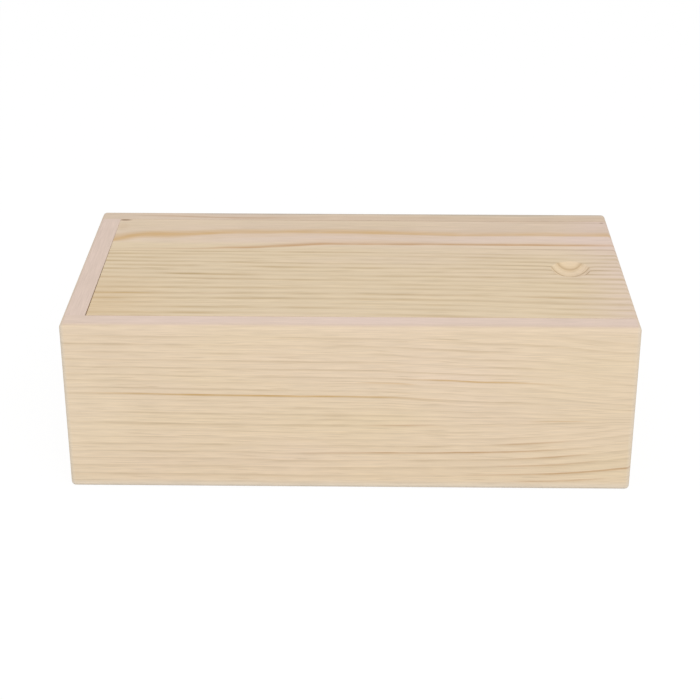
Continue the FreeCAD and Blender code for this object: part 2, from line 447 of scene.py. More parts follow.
# %% Shape the right end wall
right_end_wall = start_board("right_end_wall")
round_edges(right_end_wall, is_box_edge, OUTER_ROUNDING, ROUND_SEGMENTS)
groove = add_block(
    "panel_groove",
    Vector((INNER_RIGHT - CUT_PAST, FRONT, PANEL_GROOVE_LOW)),
    Vector((groove_right, BACK, PANEL_GROOVE_HIGH)),
)
cut(right_end_wall, groove)
right_wall_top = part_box("right_end_wall")[1].z


def is_sill_edge(start, end):
    """True for the right wall's two long top edges, which the lid slides over."""
    along = abs(start.x - end.x) < SAME_PLACE
    return along and both_lie_on(start, end, z=right_wall_top)


round_edges(right_end_wall, is_sill_edge, ARRIS, ARRIS_SEGMENTS)

# %% [markdown]
# ## The bottom panel
#
# The panel is a thin board that lies loose in the grooves, so that it can swell and shrink
# without splitting the box. All its edges are broken, which helps it into the grooves.

# %% Shape the bottom panel
bottom_panel = start_board("bottom_panel")
round_edges(bottom_panel, lambda start, end: True, ARRIS, ARRIS_SEGMENTS)

# %% [markdown]
# ## The lid
#
# The lid's lower half is a tongue that runs in the grooves. Its upper half is narrower and
# fills the space between the walls, level with their tops. A woodworker cuts a rabbet round
# three edges. In Blender it is quicker the other way round: the tongue is a block, lines are
# marked on its top, and the part between them is extruded up to the full thickness.

# %% Raise the lid's field from its tongue
TONGUE_THICKNESS = 4 * MM
LID_SIDE_GAP = 0.3 * MM
LID_END_GAP = 0.45 * MM
LID_BACK_GAP = 0.02 * MM  # the end was sawn a little out of square, so the gap narrows

lid_low, lid_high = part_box("lid")
tongue_top = lid_low.z + TONGUE_THICKNESS
field_front = INNER_FRONT + LID_SIDE_GAP
field_back = INNER_BACK - LID_SIDE_GAP
end_slant = (LID_END_GAP - LID_BACK_GAP) / (field_back - field_front)


def field_left(across):
    """Where the field's left end lies, at a place between front and back."""
    return INNER_LEFT + LID_END_GAP - end_slant * (across - field_front)


def in_field(middle):
    """True for a face on the tongue's top, inside the three marked lines."""
    inside = middle.x > field_left(middle.y) and field_front < middle.y < field_back
    return inside and lies_on(middle, z=tongue_top)


lid = add_block("lid_board", lid_low, Vector((lid_high.x, lid_high.y, tongue_top)))
mark_line(lid, (field_left(0), 0, 0), (1, end_slant, 0))
mark_line(lid, (0, field_front, 0), (0, 1, 0))
mark_line(lid, (0, field_back, 0), (0, 1, 0))

bpy.ops.object.mode_set(mode="EDIT")
select_faces(lid, in_field)
bpy.ops.mesh.extrude_region_move(
    TRANSFORM_OT_translate={"value": (0, 0, lid_high.z - tongue_top)}
)
bpy.ops.object.mode_set(mode="OBJECT")

# %% Soften its edges
round_edges(lid, is_box_edge, OUTER_ROUNDING, ROUND_SEGMENTS)


def is_lid_arris(start, end):
    """True for the edges along the lid's field and round its tongue. The field's left end stays
    as the saw left it, and so does the inner corner."""
    tongue = (("x", lid_low.x), ("y", lid_low.y), ("y", lid_high.y), ("z", lid_low.z))
    rim = max(start.z, end.z) > tongue_top + SAME_PLACE
    field_side = any(both_lie_on(start, end, y=side) for side in (field_front, field_back))
    upright = abs(start.z - end.z) > SAME_PLACE
    corner = upright and start.x < INNER_LEFT + LID_END_GAP + SAME_PLACE
    return is_corner(start, end, tongue) or (rim and field_side and not corner)


round_edges(lid, is_lid_arris, ARRIS, ARRIS_SEGMENTS)

# %% [markdown]
# ### The thumb scoop
#
# A thumb pushes the lid open in a shallow round hollow near the open end. Its bowl is part of
# a ball, and its rim is softened. A ball could be cut out with a Boolean, but its faces would
# meet the flat top in slivers. Here only a thin disc is cut out, and its floor is then pushed
# down and scaled ring by ring along the bowl's outline, which leaves neat rings of faces.

# %% Work out the scoop's outline
SCOOP_RADIUS = 9 * MM
SCOOP_DEPTH = 4.2 * MM
SCOOP_FROM_END = 24 * MM
SCOOP_TO_FRONT = 3 * MM  # how far in front of the lid's middle line it lies
RIM_RADIUS = 0.6 * MM
RIM_STEPS = 4
BOWL_STEPS = 12
ROUND_SIDES = 96

bowl_radius = (SCOOP_RADIUS**2 + SCOOP_DEPTH**2) / (2 * SCOOP_DEPTH)
ball_height = lid_high.z - SCOOP_DEPTH + bowl_radius
rim_drop = ball_height - (lid_high.z - RIM_RADIUS)
rim_centre = math.sqrt((bowl_radius + RIM_RADIUS) ** 2 - rim_drop**2)
rim_turn = math.atan2(rim_centre, rim_drop)  # how far the rim turns before the bowl begins

outline = []
for step in range(1, RIM_STEPS + 1):
    turn = rim_turn * step / RIM_STEPS
    away, down = RIM_RADIUS * math.sin(turn), RIM_RADIUS * (1 - math.cos(turn))
    outline.append((rim_centre - away, lid_high.z - down))
for step in range(1, BOWL_STEPS):
    turn = rim_turn * (1 - step / BOWL_STEPS)
    outline.append(
        (bowl_radius * math.sin(turn), ball_height - bowl_radius * math.cos(turn))
    )
print("the bowl is part of a ball of", round(bowl_radius / MM, 1), "mm radius")

# %% Carve the scoop
scoop_centre = Vector((RIGHT - SCOOP_FROM_END, -SCOOP_TO_FRONT, 0))
disc_floor = outline[0][1]
bpy.ops.object.select_all(action="DESELECT")
bpy.ops.mesh.primitive_cylinder_add(
    vertices=ROUND_SIDES,
    radius=rim_centre,
    depth=CUT_PAST,
    location=(scoop_centre.x, scoop_centre.y, disc_floor + CUT_PAST / 2),
)
cut(lid, bpy.context.object)

bpy.ops.object.mode_set(mode="EDIT")
select_faces(lid, lambda middle: lies_on(middle, z=disc_floor))
radius, height = rim_centre, disc_floor
for number, (next_radius, next_height) in enumerate(outline):
    if number:
        bpy.ops.mesh.extrude_region_move(
            TRANSFORM_OT_translate={"value": (0, 0, next_height - height)}
        )
    share = next_radius / radius
    bpy.ops.transform.resize(
        value=(share, share, 1), center_override=(scoop_centre.x, scoop_centre.y, next_height)
    )
    radius, height = next_radius, next_height
bpy.ops.object.mode_set(mode="OBJECT")
print("the scoop reaches", round((lid_high.z - height) / MM, 2), "mm into the lid")

# %% [markdown]
# ## Finish the boards
#
# A rounded edge needs only a few faces if the light is made to run smoothly over them. Faces
# that meet at less than the angle below are shaded as one, and the Weighted Normal modifier
# keeps the large flat faces flat. Each board then takes its CAD node's place in the model.

# %% Smooth, weigh and hand over each board
SMOOTH_BELOW = math.radians(40)
BOARDS = {
    "front_wall": (front_wall, "box", "pine_wall"),
    "back_wall": (back_wall, "box", "pine_wall"),
    "left_end_wall": (left_end_wall, "box", "pine_wall"),
    "right_end_wall": (right_end_wall, "box", "pine_wall"),
    "bottom_panel": (bottom_panel, "box", "pine_panel"),
    "lid": (lid, "lid", "pine_lid"),
}

for node, (board, body, slot) in BOARDS.items():
    make_active(board)
    bpy.ops.object.mode_set(mode="EDIT")
    bpy.ops.mesh.select_all(action="SELECT")
    bpy.ops.mesh.remove_doubles(threshold=SAME_PLACE)
    bpy.ops.object.mode_set(mode="OBJECT")
    bpy.ops.object.shade_smooth_by_angle(angle=SMOOTH_BELOW)
    bpy.ops.object.modifier_add(type="WEIGHTED_NORMAL")
    board.modifiers[-1].keep_sharp = True
    bpy.ops.object.modifier_apply(modifier=board.modifiers[-1].name)
    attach(board, body)
    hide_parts(node)
    size = [round(side / MM, 2) for side in board.dimensions]
    print(board.name, size, "mm,", len(board.data.polygons), "faces")

# %% [markdown]
# ## Growing the wood
#
# Pine lays down a pale, soft band each spring and a thin, dark, hard one each summer. In the
# trunk the bands are rings round the pith. A board is a slice of that trunk, so its lines are
# the same rings seen from the side, and its end shows them as arcs. A flat picture wrapped on
# the board would not fit together at the edges. So the rings are grown through the whole
# board: for every point, the material works out how far it lies from the pith, and from that
# in which ring and how late in its year it grew.
#
# Each board has its own measures in millimetres: where its pith lay, where its rings meet its
# show face, where the trunk's shape pushed them aside, and which of them are strongest.

# %% Name the colours of sanded pine
SPRING_PINK = "e9d2c4"  # pale wood near the heart
SPRING_YELLOW = "e8d3b3"
SUMMER_BROWN = "c6ad88"
SUMMER_YELLOW = "c9ad80"
RESIN_YELLOW = "dab37c"
RESIN_ORANGE = "ca9e70"
RESIN_OCHRE = "c99e58"
RESIN_BROWN = "b98a58"
DRY_BROWN = "a8865f"
# painted shade: dark spots where the lid's back gap meets its ends
GAP_END_SHADE = "8d6748"
BACK_EDGE_SHADE = "bab2a3"  # painted shade on the back wall's rounded top edge, which faces away from the lamp
PAPER_REFLECTION_GREY = "e4dacb"  # painted reflection: rounded edges turned pale grey by the white paper's light
BLEACHED = "f3e0c2"
END_GRAIN = "c9a97d"


# %% Make a pattern stretched along the grain
NOISE_LOW, NOISE_HIGH = 0.3, 0.7  # soft noise mostly stays between these


def grain_noise(wood, place, spot, detail=2.0, shift=0.0):
    """Soft noise whose spots have about this length and width in millimetres."""
    scale = (1 / spot[0], 1 / spot[1], 1 / spot[1])
    location = (shift, shift, shift)
    stretched = add_node(wood, "Mapping", {"Vector": place, "Location": location, "Scale": scale})
    return add_node(wood, "TexNoise", {"Vector": stretched, "Scale": 1.0, "Detail": detail})


# %% Grow the rings of one board
def side_of(board):
    """1 where the trunk grew towards the board's higher numbers, and -1 where it didn't."""
    return math.copysign(1, board["width"] / 2 - board["pith"][0])


def grow_rings(wood, board_place, board):
    """Gives four values: the number of the ring at each point, the point's places along and
    across the board, and the place where that ring meets the show face."""
    axes = add_node(wood, "SeparateXYZ", [board_place])
    along, across, deep = axes.outputs

    # The ring's place on the show face, found from its distance to the pith.
    pith_across, pith_deep = board["pith"]
    from_pith = add_node(wood, "Math", [across, pith_across], operation="SUBTRACT")
    down = add_node(wood, "Math", [pith_deep, deep], operation="SUBTRACT")
    across_squared = add_node(wood, "Math", [from_pith, from_pith], operation="MULTIPLY")
    down_squared = add_node(wood, "Math", [down, down, -(pith_deep**2)], operation="MULTIPLY_ADD")
    squared = add_node(wood, "Math", [across_squared, down_squared], operation="ADD")
    never_below = add_node(wood, "Math", [squared, 0.0], operation="MAXIMUM")
    reach = add_node(wood, "Math", [never_below], operation="SQRT")
    side = side_of(board)
    face_place = add_node(wood, "Math", [reach, side, pith_across], operation="MULTIPLY_ADD")

    # The trunk isn't straight: slow waves, small waves, and the pushes listed for the board.
    for length, width, sway in board["waves"]:
        wave = grain_noise(wood, board_place, (length, width), shift=board["seed"])
        centred = add_node(wood, "Math", [wave, 0.5], operation="SUBTRACT")
        face_place = add_node(
            wood, "Math", [centred, 2 * sway, face_place], operation="MULTIPLY_ADD"
        )
    for pushes_along, pushes_across in board["pushes"]:
        push = add_node(wood, "FloatCurve", {"Value": along}, points=pushes_along)
        share = add_node(wood, "FloatCurve", {"Value": across}, points=pushes_across)
        moved = add_node(wood, "Math", [push, share], operation="MULTIPLY")
        face_place = add_node(wood, "Math", [face_place, moved], operation="SUBTRACT")

    ring_ends = [(place, side * count) for count, place in enumerate(board["rings"])]
    ring = add_node(wood, "FloatCurve", {"Value": face_place}, points=ring_ends, handles="VECTOR")
    return ring, along, across, face_place


# %% Tell summer wood from spring wood
def find_summer_wood(wood, ring, board):
    """Gives two values: the whole number of the ring, and how far its wood is summer wood: 0 in
    spring, up to 1 in summer, then 0 again for the next spring."""
    number = add_node(wood, "Math", [ring], operation="FLOOR")
    year = add_node(wood, "Math", [ring], operation="FRACT")
    chance = add_node(wood, "TexWhiteNoise", {"W": number}, noise_dimensions="1D")
    earliest, latest, darkest = board["summer"]
    # A Map Range node takes a value, the range that it comes from and the one that it goes to.
    summer_start = add_node(wood, "MapRange", [chance, 0, 1, earliest, latest])
    darkening = add_node(
        wood, "MapRange", [year, summer_start, darkest, 0, 1], interpolation_type="SMOOTHSTEP"
    )
    still_this_year = add_node(wood, "MapRange", [year, 1, darkest, 0, 1])
    summer = add_node(wood, "Math", [darkening, still_this_year], operation="MULTIPLY")
    return number, summer


# %% Draw the lines of the rings
LEVEL_LEAD = 0.2  # rings, by which a ring's level is reached before the ring begins
FADE_SPOT = (42, 42)  # mm, over which a ring's line fades in and out
FADED_BELOW, WHOLE_ABOVE = 0.34, 0.62  # levels of the noise that does it
NEXT_RING = 97.0  # mm, from the noise that one ring fades by to that of the next
LEAST_LINE = 0.25  # what is left of a line where it has faded
UNEVEN_SPOT = (16, 3)  # mm
FAINTEST, FULLEST = 0.65, 1.1
DASH_SPOT = (22, 0.6)  # mm
DASH_BEGINS, DASH_WHOLE = 0.6, 0.74  # levels of the noise that makes the dashes
DASH_AMOUNT = 0.3


def draw_ring_lines(wood, grown, number, summer, board):
    """Gives two values: how much of each point's colour is line, and how uneven lines are."""
    ring, along, across, face_place = grown

    # Some rings are darker than others, and each one fades in and out along the board.
    side = side_of(board)
    levels = [(side * count - LEVEL_LEAD, level) for count, level in enumerate(board["levels"])]
    level = add_node(wood, "FloatCurve", {"Value": ring}, points=sorted(levels), handles="VECTOR")
    apart = add_node(wood, "Math", [number, NEXT_RING], operation="MULTIPLY")
    along_ring = add_node(wood, "CombineXYZ", [along, apart])
    fading = grain_noise(wood, along_ring, FADE_SPOT, detail=1.5, shift=board["seed"])
    faded = add_node(wood, "MapRange", [fading, FADED_BELOW, WHOLE_ABOVE, LEAST_LINE, 1])
    strength = add_node(wood, "Math", [level, faded], operation="MULTIPLY")
    with_rings = add_node(wood, "CombineXYZ", [along, face_place])
    patchy = grain_noise(wood, with_rings, UNEVEN_SPOT, detail=1.0, shift=board["seed"] + 5)
    uneven = add_node(wood, "MapRange", [patchy, NOISE_LOW, NOISE_HIGH, FAINTEST, FULLEST])
    strength = add_node(wood, "Math", [strength, uneven], operation="MULTIPLY")
    ring_share = add_node(wood, "Math", [summer, strength], operation="MULTIPLY")

    # Between them run short fine lines, where a year had a dry spell.
    dashes = grain_noise(wood, with_rings, DASH_SPOT, detail=1.0, shift=board["seed"] + 9)
    dash_share = add_node(wood, "MapRange", [dashes, DASH_BEGINS, DASH_WHOLE, 0, DASH_AMOUNT])
    line_share = add_node(wood, "Math", [ring_share, dash_share], operation="MAXIMUM")
    for socket, points in ((across, board["contrast"]), (along, board["contrast_along"])):
        zone = add_node(wood, "FloatCurve", {"Value": socket}, points=points)
        line_share = add_node(wood, "Math", [line_share, zone], operation="MULTIPLY")
    return line_share, uneven


# %% Draw the lines that stand out
SOFT_SIDE = 0.7  # the share of a line's width that lies on the side of the pith
END_FADE = 0.3  # the share of a line's length over which each end fades
CURVE_END = 1  # mm, from a line's edge to the guard point that keeps its curve at zero


def draw_strong_lines(wood, colour, along, face_place, uneven, board):
    """Lays each listed line over a colour. A line has a place, a width, two ends and an amount,
    and fades softly towards the pith and sharply away from it, as a year's growth does. The
    back wall's first line is painted shade on its rounded edge instead of a year's line. A
    curve is stored as 256 samples from zero on, so a narrow line is drawn close to zero."""
    side = side_of(board)
    for place, width, start, end, amount, line_colour in board["strong"]:
        off_line = add_node(wood, "Math", [face_place, place], operation="SUBTRACT")
        low, high = sorted((-SOFT_SIDE * side * width, (1 - SOFT_SIDE) * side * width))
        profile = [(low - CURVE_END, 0), (low, 0), (0, amount), (high, 0), (high + CURVE_END, 0)]
        across_line = add_node(wood, "FloatCurve", {"Value": off_line}, points=profile)
        fade = END_FADE * (end - start)
        reach = [(start - fade, 0), (start + fade, 1), (end - fade, 1), (end + fade, 0)]
        along_line = add_node(wood, "FloatCurve", {"Value": along}, points=reach)
        share = add_node(wood, "Math", [across_line, along_line], operation="MULTIPLY")
        share = add_node(wood, "Math", [share, uneven], operation="MULTIPLY")
        colour = add_node(
            wood, "Mix", {"Factor": share, "A": colour, "B": line_colour}, data_type="RGBA"
        )
    return colour


# %% Colour the spring wood
CLOUD_SPOT = (110, 28)  # mm
CLOUD_AMOUNT = 0.8


def colour_spring_wood(wood, board_place, along, across, board):
    """Spring wood is pinker in some places and yellower in others."""
    cloud = grain_noise(wood, board_place, CLOUD_SPOT, shift=board["seed"] + 3)
    yellow = add_node(
        wood, "Math", [cloud, CLOUD_AMOUNT, -CLOUD_AMOUNT / 2], operation="MULTIPLY_ADD"
    )
    for socket, points in ((across, board["yellow"]), (along, board["yellow_along"])):
        part = add_node(wood, "FloatCurve", {"Value": socket}, points=points)
        yellow = add_node(wood, "Math", [yellow, part], operation="ADD")
    yellow = add_node(wood, "Math", [yellow, 1.0], operation="MINIMUM", use_clamp=True)
    spring = {"Factor": yellow, "A": SPRING_PINK, "B": SPRING_YELLOW}
    return add_node(wood, "Mix", spring, data_type="RGBA")


# %% Lay soft patches
PATCH_DEPTH = 4  # mm, so that a patch on a face stays off the board's other faces
PATCH_CORE = 0.3  # the share of a patch, from its middle out, that has its full amount


def lay_patches(wood, colour, board_place, board):
    """Soft patches in the wood's colour, places where the lines are faint, and painted light: a
    pale reflection painted on rounded edges, and painted shade on the front's top edge and along
    the lid's back gap. Each patch has a middle, a half length and width, an amount and a colour."""
    for middle, half_size, amount, patch_colour in board["patches"]:
        from_middle = add_node(
            wood, "VectorMath", [board_place, (*middle, 0)], operation="SUBTRACT"
        )
        scaled = add_node(
            wood, "VectorMath", [from_middle, (*half_size, PATCH_DEPTH)], operation="DIVIDE"
        )
        off = add_node(wood, "VectorMath", [scaled], operation="LENGTH")
        share = add_node(wood, "MapRange", [off.outputs["Value"], 1, PATCH_CORE, 0, amount])
        colour = add_node(
            wood, "Mix", {"Factor": share, "A": colour, "B": patch_colour}, data_type="RGBA"
        )
    return colour


# %% Comb in the fibres
FIBRE_SPOT = (14, 0.6)  # mm, about three times as coarse as real fibres, so that they show
STREAK_SPOT = (50, 2.2)  # mm
FINE_STREAKS, WIDE_STREAKS = 1.6, 0.35  # how strong each kind is
YEAR_SPOT = (60, 0.37)  # mm along, and rings across: under one, so that neighbours differ
DARKEST, LIGHTEST = 0.9, 1.1


def comb_fibres(wood, board_place, along, number, board):
    """Gives two values: the fine streaks of the fibres, and how light they make the wood."""
    fibre = grain_noise(wood, board_place, FIBRE_SPOT, detail=3.0)
    streak = grain_noise(wood, board_place, STREAK_SPOT, shift=7)
    keeps_middle = 1 - (FINE_STREAKS + WIDE_STREAKS) / 2
    wide = add_node(wood, "Math", [streak, WIDE_STREAKS, keeps_middle], operation="MULTIPLY_ADD")
    streaks = add_node(wood, "Math", [fibre, FINE_STREAKS, wide], operation="MULTIPLY_ADD")

    # One year's wood is a little lighter or darker than the next one's.
    tone_place = add_node(wood, "CombineXYZ", [along, number])
    tone = grain_noise(wood, tone_place, YEAR_SPOT, detail=1.0, shift=board["seed"] + 2)
    toned = add_node(wood, "Math", [tone, board["tone"], streaks], operation="MULTIPLY_ADD")
    middle = 1 + board["tone"] / 2
    darkest, lightest = DARKEST * board["shade"], LIGHTEST * board["shade"]
    shade = add_node(wood, "MapRange", [toned, middle - 0.5, middle + 0.5, darkest, lightest])
    return streaks, shade


# %% Darken the end grain
END_BEGINS, END_WHOLE = 0.8, 0.99  # how squarely a face looks along the grain
END_AMOUNT = 0.45


def darken_end_grain(wood, colour, board):
    """End grain drinks the light: it is darker where a face looks along the grain."""
    facing = add_node(wood, "TexCoord").outputs["Normal"]
    facing_parts = add_node(wood, "SeparateXYZ", [facing])
    grain_axis = facing_parts.outputs["XYZ".index(board["axes"][0])]
    end_on = add_node(wood, "Math", [grain_axis], operation="ABSOLUTE")
    end_share = add_node(
        wood,
        "MapRange",
        [end_on, END_BEGINS, END_WHOLE, 0, END_AMOUNT],
        interpolation_type="SMOOTHSTEP",
    )
    return add_node(
        wood, "Mix", {"Factor": end_share, "A": colour, "B": END_GRAIN}, data_type="RGBA"
    )


# %% [markdown]
# ### Bare pine, planed and sanded
#
# With no oil or varnish on it, pine is pale and dull, and a highlight on it is wide and faint.
# Its summer wood is harder, so sanding leaves it a little proud and a little glossier. The
# material puts the steps above together: rings, lines, patches, fibres and end grain.

# %% Put the wood together
SPRING_ROUGHNESS, SUMMER_ROUGHNESS = 0.68, 0.55
PROUD_LINES = 0.6  # how far the lines stand out beside the fibres
RELIEF = 0.00006  # metres from the lowest to the highest fibre
RELIEF_STRENGTH = 0.25
WOOD_IOR = 1.5


def sanded_pine(name, board):
    """A material for one board."""
    material = bpy.data.materials.new(name)
    material.use_nodes = True
    wood = material.node_tree
    wood.nodes.clear()

    # Object coordinates in metres become millimetres along, across and into the board.
    place = add_node(wood, "TexCoord").outputs["Object"]
    in_mm = add_node(
        wood, "Mapping", {"Vector": place, "Location": board["start"], "Scale": board["turn"]}
    )
    split = add_node(wood, "SeparateXYZ", [in_mm])
    order = [split.outputs["XYZ".index(axis)] for axis in board["axes"]]
    board_place = add_node(wood, "CombineXYZ", order)

    grown = grow_rings(wood, board_place, board)
    ring, along, across, face_place = grown
    number, summer = find_summer_wood(wood, ring, board)
    line_share, uneven = draw_ring_lines(wood, grown, number, summer, board)
    spring = colour_spring_wood(wood, board_place, along, across, board)
    lines = {"Factor": line_share, "A": spring, "B": board["summer_colour"]}
    ringed = add_node(wood, "Mix", lines, data_type="RGBA")
    ringed = draw_strong_lines(wood, ringed, along, face_place, uneven, board)
    ringed = lay_patches(wood, ringed, board_place, board)
    streaks, shade = comb_fibres(wood, board_place, along, number, board)
    streaked = add_node(wood, "VectorMath", {0: ringed, "Scale": shade}, operation="SCALE")
    coloured = darken_end_grain(wood, streaked, board)

    roughness = add_node(wood, "MapRange", [line_share, 0, 1, SPRING_ROUGHNESS, SUMMER_ROUGHNESS])
    relief = add_node(wood, "Math", [line_share, PROUD_LINES, streaks], operation="MULTIPLY_ADD")
    bump = add_node(
        wood, "Bump", {"Strength": RELIEF_STRENGTH, "Distance": RELIEF, "Height": relief}
    )
    surface = add_node(
        wood,
        "BsdfPrincipled",
        {"Base Color": coloured, "Roughness": roughness, "Normal": bump, "IOR": WOOD_IOR},
    )
    add_node(wood, "OutputMaterial", {"Surface": surface})
    return material


# %% [markdown]
# ## The six boards
#
# Each board's grain runs along its length. "start" and "turn" bring its left end, its back or
# top edge and its show face to zero, and "axes" says which way is along, across and into the
# board. All places are in millimetres. A board made from another one with dict() keeps
# whatever it doesn't name itself.
#
# - "pith" is the middle of the trunk, across and into the board.
# - "rings" lists where each ring ends on the show face, and "levels" how dark its line is.
# - "waves" and "pushes" bend the rings. A wave has a length, a width and a sway. A push has a
#   curve along and a curve across the board, and their product is how far the rings move.
# - "summer" holds the earliest and the latest start of a year's dark wood, and its darkest place.
# - "strong" lists the lines that stand out: place, width, two ends, amount and colour.
# - "patches" lists soft patches: middle, half length and width, amount and colour.
# - "contrast" is how strong the lines are, and "yellow" how yellow the wood between them is,
#   both across and along the board.
# - "tone" is how much one year differs from the next, and "shade" how light the whole board is.

# %% Describe the long walls
PER_METRE = 1000  # millimetres in a metre
HALF_LENGTH, HALF_WIDTH, HEIGHT = 125, 67, 80  # of the box, in millimetres
STRAIGHT_WAVES = [(95, 30, 0.5), (26, 7, 0.2), (7, 1.6, 0.12)]

front_rings = [
    -8.1, -3.6, 0.5, 5.0, 8.9, 12.9, 16.5, 20.4, 24.1, 27.0, 30.6, 33.6, 36.4, 39.3, 42.6,
    45.2, 47.7, 51.2, 54.5, 57.8, 61.5, 65.0, 68.6, 72.8, 76.3, 79.9, 83.4,
]  # fmt: skip
front_levels = [
    0.3, 0.3, 0.25, 0.38, 0.35, 0.32, 0.38, 0.35, 0.32, 0.26, 0.35, 0.42, 0.26, 0.26, 0.4,
    0.35, 0.4, 0.26, 0.22, 0.38, 0.38, 0.35, 0.32, 0.35, 0.32, 0.32, 0.32,
]  # fmt: skip
front_pine = {
    "start": (HALF_LENGTH, HALF_WIDTH, HEIGHT),
    "turn": (PER_METRE, PER_METRE, -PER_METRE),
    "axes": "XZY",
    "width": HEIGHT,
    "pith": (210, 14),
    "waves": STRAIGHT_WAVES,
    "pushes": [
        (
            [(0, -1.2), (22, -1.0), (50, -0.6), (90, -0.2), (127, 0), (250, 0)],
            [(0, 0.3), (15, 0.8), (30, 1.0), (45, 0.9), (52, 0.3), (60, 0)],
        ),
        (
            [
                (127, 0), (142, 0.1), (157, 0.9), (170, 1.3), (180, 1.9), (199, 2.3),
                (207, 2.8), (215, 3.3), (223, 4.2), (230, 5.0), (237, 5.7), (250, 6.6),
            ],
            [(0, 1.05), (34, 1.0), (41, 0.78), (46, 0)],
        ),
        (
            [
                (127, 0), (157, -0.2), (180, -0.7), (199, -1.4), (215, -2.5), (230, -4.1),
                (243, -6.0), (250, -7.0),
            ],
            [(43, 0), (49, 1.0), (58, 0.95), (66, 0.8), (72, 0.65), (78, 0.45)],
        ),
        (
            [(0, -0.5), (60, -0.5), (82, -0.3), (95, 0.25), (112, 0.36), (150, 0.1), (250, 0.25)],
            [(48, 0), (55, 1), (66, 1), (72, 0.6), (80, 0.4)],
        ),
        (
            [(180, 0), (205, 0.25), (222, 0.5), (250, 0.5)],
            [(62, 0), (70, 0.9), (80, 1)],
        ),
    ],
    "rings": front_rings,
    "levels": front_levels,
    "summer": (0.42, 0.66, 0.93),
    "summer_colour": SUMMER_BROWN,
    "strong": [
        (33.6, 1.5, 28, 138, 0.75, RESIN_OCHRE),
        (24.1, 1.2, 160, 207, 0.75, RESIN_OCHRE),
        (26.7, 1.1, 132, 150, 0.5, RESIN_OCHRE),
        (47.7, 1.2, 136, 160, 0.4, RESIN_BROWN),
        (46.3, 1.3, 208, 226, 0.6, RESIN_OCHRE),
        (61.5, 1.2, 120, 206, 0.65, RESIN_BROWN),
        (57.8, 1.1, 194, 220, 0.45, RESIN_BROWN),
        (65.0, 1.1, 201, 227, 0.5, RESIN_BROWN),
        (68.6, 1.1, 194, 228, 0.45, RESIN_BROWN),
        (72.8, 1.1, 184, 222, 0.4, RESIN_BROWN),
        (72.8, 1.2, 219, 256, 0.75, RESIN_BROWN),
        (76.3, 1.1, 201, 234, 0.45, RESIN_BROWN),
    ],
    "patches": [
        # painted reflection: the front's rounded bottom edge in the white paper's pale grey light
        ((125, 80.5), (500, 5), 0.75, PAPER_REFLECTION_GREY),
        # painted shade: darkens the rounded edge between front and top, to tone down its
        # highlight
        ((125, 0), (500, 1.6), 0.22, SUMMER_BROWN),
        # painted reflection: the same pale grey on the front's rounded left and right edges
        ((-0.3, 40), (2.6, 200), 0.6, PAPER_REFLECTION_GREY),
        ((250.3, 40), (2.6, 200), 0.5, PAPER_REFLECTION_GREY),
        ((228, 22), (45, 26), 0.45, SPRING_YELLOW),
        ((0, 48), (40, 36), 0.25, BLEACHED),
    ],
    "contrast": [(0, 0.1), (3, 0.4), (5, 1.6), (80, 1.6)],
    "contrast_along": [(0, 1), (250, 1)],
    "yellow": [(0, 0.1), (0.3, 0.5), (0.9, 0.75), (80, 0.85)],
    "yellow_along": [(0, 0), (250, 0)],
    "tone": 0.4,
    "shade": 1.0,
    "seed": 11,
}
OTHER_LEVELS = [0.4, 0.25, 0.35, 0.5, 0.2, 0.45, 0.3] * 4
back_pine = dict(
    front_pine,
    turn=(PER_METRE, -PER_METRE, -PER_METRE),
    pith=(190, 45),
    pushes=[
        ([(0, -0.35), (33, -0.3), (80, 0.25), (250, 0.25)], [(0, 1), (3, 1), (5, 0)]),
    ],
    rings=[-9, -4.6] + [4.4 + 3.9 * number for number in range(22)],
    levels=OTHER_LEVELS,
    strong=[
        # painted shade: a grey line along the back wall's rounded top edge, which faces away from
        # the lamp
        (0.15, 0.9, -60, 310, 0.6, BACK_EDGE_SHADE),
        (1.35, 0.45, 30, 86, 0.55, RESIN_BROWN),
        (1.2, 1.6, 60, 300, 0.16, RESIN_BROWN),
        (14.4, 1.4, 10, 120, 0.5, RESIN_OCHRE),
        (41.7, 1.3, 90, 240, 0.5, RESIN_BROWN),
        (61.2, 1.2, 20, 160, 0.4, RESIN_BROWN),
    ],
    patches=[],
    yellow=[(0, 0.6), (80, 0.85)],
    shade=0.94,
    seed=29,
)

# %% Describe the end walls and the panel
left_pine = dict(
    back_pine,
    turn=(PER_METRE, PER_METRE, -PER_METRE),
    axes="YZX",
    pith=(150, 38),
    pushes=[],
    rings=[-8, -3] + [4.2 + 4.4 * number for number in range(20)],
    strong=[
        (21.8, 1.4, 10, 90, 0.5, RESIN_OCHRE),
        (48.2, 1.3, 40, 130, 0.45, RESIN_BROWN),
    ],
    yellow=[(0, 0), (0.9, 0.7), (80, 0.85)],
    shade=0.97,
    seed=41,
)
right_pine = dict(
    left_pine,
    turn=(-PER_METRE, PER_METRE, -PER_METRE),
    pith=(-60, 30),
    rings=[4.1 * number - 6 for number in range(25)],
    seed=53,
)
panel_pine = dict(
    back_pine,
    start=(HALF_LENGTH, HALF_WIDTH, PANEL_GROOVE_HIGH / MM),
    axes="XYZ",
    width=2 * HALF_WIDTH,
    pith=(60, 26),
    rings=[56, 70, 80, 87, 92] + [96.2 + 3.9 * number for number in range(10)],
    strong=[(80, 3, 10, 150, 0.4, RESIN_OCHRE)],
    seed=67,
)

